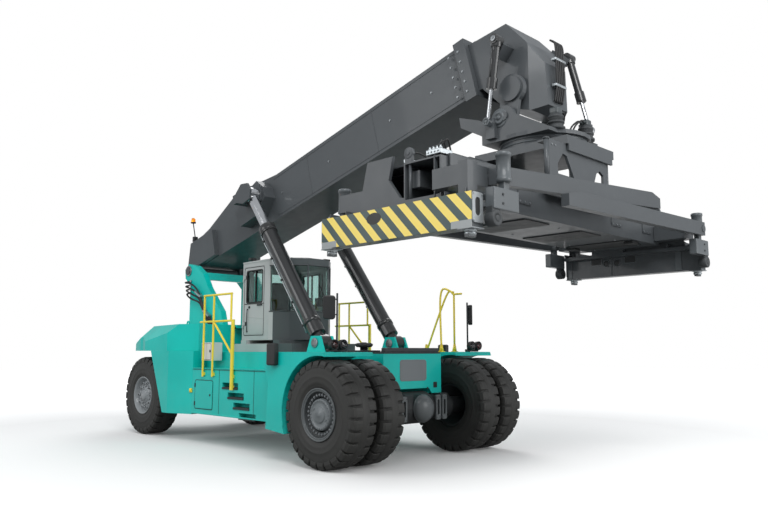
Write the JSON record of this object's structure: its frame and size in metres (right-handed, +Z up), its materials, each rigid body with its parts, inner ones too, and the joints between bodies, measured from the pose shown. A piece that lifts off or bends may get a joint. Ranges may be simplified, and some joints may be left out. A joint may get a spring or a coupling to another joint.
{
  "type": "reach stacker",
  "caption": "Reach stacker with a telescopic boom, a slewing and side-shifting container spreader, folding bottom-lift legs, a glazed cab and rear-wheel steering.",
  "frame": {"origin": "middle of the bounding box at ground level, under the tyres", "axes": "+Z up, the truck looks towards -Y, its left side is +X"},
  "size_m": [6.043, 12.2414, 6.7597],
  "materials": {
    "axle_black": "satin paint",
    "base_grey": "satin paint",
    "body_teal": "gloss paint",
    "boom_grey": "satin paint",
    "cab_glass": "clear tinted",
    "cab_paint": "satin paint",
    "cylinder_black": "gloss paint",
    "deck_black": "anti-slip paint",
    "engine_iron": "painted casting",
    "interior_plastic": "matt",
    "motor_grey": "satin paint",
    "rail_yellow": "gloss paint",
    "rim_grey": "satin paint",
    "rim_silver": "silver paint",
    "rod_chrome": "polished",
    "seat_cloth": "woven",
    "tyre_rubber": "matt rubber"
  },
  "bodies": {
    "root": {"chassis_frame": "body_teal", "front_axle": "axle_black", "rear_axle": "axle_black", "fender_front_right": "body_teal", "fender_front_left": "body_teal", "front_deck": "deck_black", "side_tank_right": "body_teal", "side_tank_left": "body_teal", "rear_fender_right": "body_teal", "rear_fender_left": "body_teal", "boom_tower": "body_teal", "engine_hood": "body_teal", "engine_block": "engine_iron", "counterweight": "body_teal", "cab_shell": "cab_paint", "cab_windscreen": "cab_glass", "cab_base": "base_grey", "operator_seat": "seat_cloth", "steering_column": "interior_plastic", "handrail_right": "rail_yellow", "handrail_left": "rail_yellow"},
    "door_right": {"cab_door_right": "cab_paint"},
    "wheel_front_right": {"tyre_front_right_outer": "tyre_rubber", "tyre_front_right_inner": "tyre_rubber", "rim_front_right": "rim_grey"},
    "knuckle_right": {"steering_knuckle_right": "axle_black"},
    "wheel_rear_right": {"tyre_rear_right": "tyre_rubber", "rim_rear_right": "rim_silver"},
    "lift_barrel_right": {"lift_barrel_right": "cylinder_black"},
    "lift_rod_right": {"lift_rod_right": "rod_chrome"},
    "tilt_barrel_right": {"tilt_barrel_right": "cylinder_black"},
    "tilt_rod_right": {"tilt_rod_right": "rod_chrome"},
    "arm_right": {"spreader_arm_right": "boom_grey"},
    "leg_front_right": {"bottom_leg_front_right": "boom_grey"},
    "leg_rear_right": {"bottom_leg_rear_right": "boom_grey"},
    "door_left": {"cab_door_left": "cab_paint"},
    "wheel_front_left": {"tyre_front_left_outer": "tyre_rubber", "tyre_front_left_inner": "tyre_rubber", "rim_front_left": "rim_grey"},
    "knuckle_left": {"steering_knuckle_left": "axle_black"},
    "wheel_rear_left": {"tyre_rear_left": "tyre_rubber", "rim_rear_left": "rim_silver"},
    "lift_barrel_left": {"lift_barrel_left": "cylinder_black"},
    "lift_rod_left": {"lift_rod_left": "rod_chrome"},
    "tilt_barrel_left": {"tilt_barrel_left": "cylinder_black"},
    "tilt_rod_left": {"tilt_rod_left": "rod_chrome"},
    "arm_left": {"spreader_arm_left": "boom_grey"},
    "leg_front_left": {"bottom_leg_front_left": "boom_grey"},
    "leg_rear_left": {"bottom_leg_rear_left": "boom_grey"},
    "boom": {"boom_outer": "boom_grey"},
    "inner_boom": {"boom_inner": "boom_grey"},
    "rotator": {"rotator_yoke": "boom_grey", "slew_motor_right": "motor_grey", "slew_motor_left": "motor_grey"},
    "carriage": {"slew_carriage": "boom_grey"},
    "spreader": {"spreader_frame": "boom_grey"}
  },
  "joints": [
    {"name": "wheel_front_right_spin", "type": "hinge", "parent": "root", "child": "wheel_front_right", "pos_m": [-1.244, -1.93925, 0.83], "axis": [1, 0, 0], "continuous": true},
    {"name": "wheel_front_left_spin", "type": "hinge", "parent": "root", "child": "wheel_front_left", "pos_m": [1.784, -1.93925, 0.83], "axis": [1, 0, 0], "continuous": true},
    {"name": "steer_right", "type": "hinge", "parent": "root", "child": "knuckle_right", "pos_m": [-0.73, 4.56075, 0.83], "axis": [0, 0, 1], "range_deg": [-45, 45]},
    {"name": "steer_left", "type": "hinge", "parent": "root", "child": "knuckle_left", "pos_m": [1.27, 4.56075, 0.83], "axis": [0, 0, 1], "range_deg": [-45, 45]},
    {"name": "wheel_rear_right_spin", "type": "hinge", "parent": "knuckle_right", "child": "wheel_rear_right", "pos_m": [-1.132, 4.56075, 0.83], "axis": [1, 0, 0], "continuous": true},
    {"name": "wheel_rear_left_spin", "type": "hinge", "parent": "knuckle_left", "child": "wheel_rear_left", "pos_m": [1.672, 4.56075, 0.83], "axis": [1, 0, 0], "continuous": true},
    {"name": "boom_lift", "type": "hinge", "parent": "root", "child": "boom", "pos_m": [0.27, 4.31075, 3.6], "axis": [-1, 0, 0], "range_deg": [-14.45, 34]},
    {"name": "boom_extend", "type": "slide", "parent": "boom", "child": "inner_boom", "axis": [0, 0.9684, -0.2495], "range_m": [-6, 0]},
    {"name": "lift_barrel_right_hinge", "type": "hinge", "parent": "root", "child": "lift_barrel_right", "pos_m": [-0.65, -0.65925, 1.93], "axis": [1, 0, 0], "range_deg": [-0.64, 0.84]},
    {"name": "lift_rod_right_slide", "type": "slide", "parent": "lift_barrel_right", "child": "lift_rod_right", "axis": [0, 0.6072, 0.7946], "range_m": [-0.7389, 1.725]},
    {"name": "lift_barrel_left_hinge", "type": "hinge", "parent": "root", "child": "lift_barrel_left", "pos_m": [1.19, -0.65925, 1.93], "axis": [1, 0, 0], "range_deg": [-0.64, 0.84]},
    {"name": "lift_rod_left_slide", "type": "slide", "parent": "lift_barrel_left", "child": "lift_rod_left", "axis": [0, 0.6072, 0.7946], "range_m": [-0.7389, 1.725]},
    {"name": "spreader_tilt", "type": "hinge", "parent": "inner_boom", "child": "rotator", "pos_m": [0.27, -4.48925, 5.22], "axis": [1, 0, 0], "range_deg": [-14.45, 34]},
    {"name": "tilt_barrel_right_hinge", "type": "hinge", "parent": "inner_boom", "child": "tilt_barrel_right", "pos_m": [-0.52, -4.46925, 6.37], "axis": [1, 0, 0], "range_deg": [-1.31, 2.4]},
    {"name": "tilt_rod_right_slide", "type": "slide", "parent": "tilt_barrel_right", "child": "tilt_rod_right", "axis": [0, 0.1539, -0.9881], "range_m": [-0.1322, 0.062]},
    {"name": "tilt_barrel_left_hinge", "type": "hinge", "parent": "inner_boom", "child": "tilt_barrel_left", "pos_m": [1.06, -4.72925, 6.46], "axis": [1, 0, 0], "range_deg": [-2.9, 6.14]},
    {"name": "tilt_rod_left_slide", "type": "slide", "parent": "tilt_barrel_left", "child": "tilt_rod_left", "axis": [0, -0.2462, -0.9692], "range_m": [-0.1374, 0.3097]},
    {"name": "spreader_slew", "type": "hinge", "parent": "rotator", "child": "carriage", "pos_m": [0.27, -4.70925, 4.86], "axis": [0, 0, 1], "range_deg": [-105, 195]},
    {"name": "side_shift", "type": "slide", "parent": "carriage", "child": "spreader", "axis": [1, 0, 0], "range_m": [-0.53, 1.07]},
    {"name": "spreader_extend_right", "type": "slide", "parent": "spreader", "child": "arm_right", "axis": [-1, 0, 0], "range_m": [0, 3.045]},
    {"name": "spreader_extend_left", "type": "slide", "parent": "spreader", "child": "arm_left", "axis": [1, 0, 0], "range_m": [0, 3.045]},
    {"name": "leg_front_right_fold", "type": "hinge", "parent": "arm_right", "child": "leg_front_right", "pos_m": [-2.5765, -5.92575, 3.7], "axis": [0, 1, 0], "range_deg": [0, 90]},
    {"name": "leg_rear_right_fold", "type": "hinge", "parent": "arm_right", "child": "leg_rear_right", "pos_m": [-2.5765, -3.49275, 3.7], "axis": [0, 1, 0], "range_deg": [0, 90]},
    {"name": "leg_front_left_fold", "type": "hinge", "parent": "arm_left", "child": "leg_front_left", "pos_m": [2.5765, -6.05575, 3.7], "axis": [0, -1, 0], "range_deg": [0, 90]},
    {"name": "leg_rear_left_fold", "type": "hinge", "parent": "arm_left", "child": "leg_rear_left", "pos_m": [2.5765, -3.36275, 3.7], "axis": [0, -1, 0], "range_deg": [0, 90]},
    {"name": "cab_door_right_hinge", "type": "hinge", "parent": "root", "child": "door_right", "pos_m": [-0.4863, 2.07075, 2.79], "axis": [0, 0, -1], "range_deg": [0, 90]},
    {"name": "cab_door_left_hinge", "type": "hinge", "parent": "root", "child": "door_left", "pos_m": [1.0263, 2.07075, 2.79], "axis": [0, 0, 1], "range_deg": [0, 90]}
  ],
  "couplings": [
    {"joint": "steer_left", "follows": "steer_right", "ratio": 1},
    {"joint": "lift_barrel_right_hinge", "follows": "boom_lift", "ratio": 0.01},
    {"joint": "lift_rod_right_slide", "follows": "boom_lift", "m_per_rad": 2.89},
    {"joint": "lift_barrel_left_hinge", "follows": "boom_lift", "ratio": 0.01},
    {"joint": "lift_rod_left_slide", "follows": "boom_lift", "m_per_rad": 2.89},
    {"joint": "tilt_barrel_right_hinge", "follows": "spreader_tilt", "ratio": 0.056},
    {"joint": "tilt_rod_right_slide", "follows": "spreader_tilt", "m_per_rad": -0.206},
    {"joint": "tilt_barrel_left_hinge", "follows": "spreader_tilt", "ratio": 0.166},
    {"joint": "tilt_rod_left_slide", "follows": "spreader_tilt", "m_per_rad": 0.505},
    {"joint": "spreader_extend_left", "follows": "spreader_extend_right", "ratio": 1},
    {"joint": "leg_rear_right_fold", "follows": "leg_front_right_fold", "ratio": 1},
    {"joint": "leg_front_left_fold", "follows": "leg_front_right_fold", "ratio": 1},
    {"joint": "leg_rear_left_fold", "follows": "leg_front_right_fold", "ratio": 1}
  ]
}
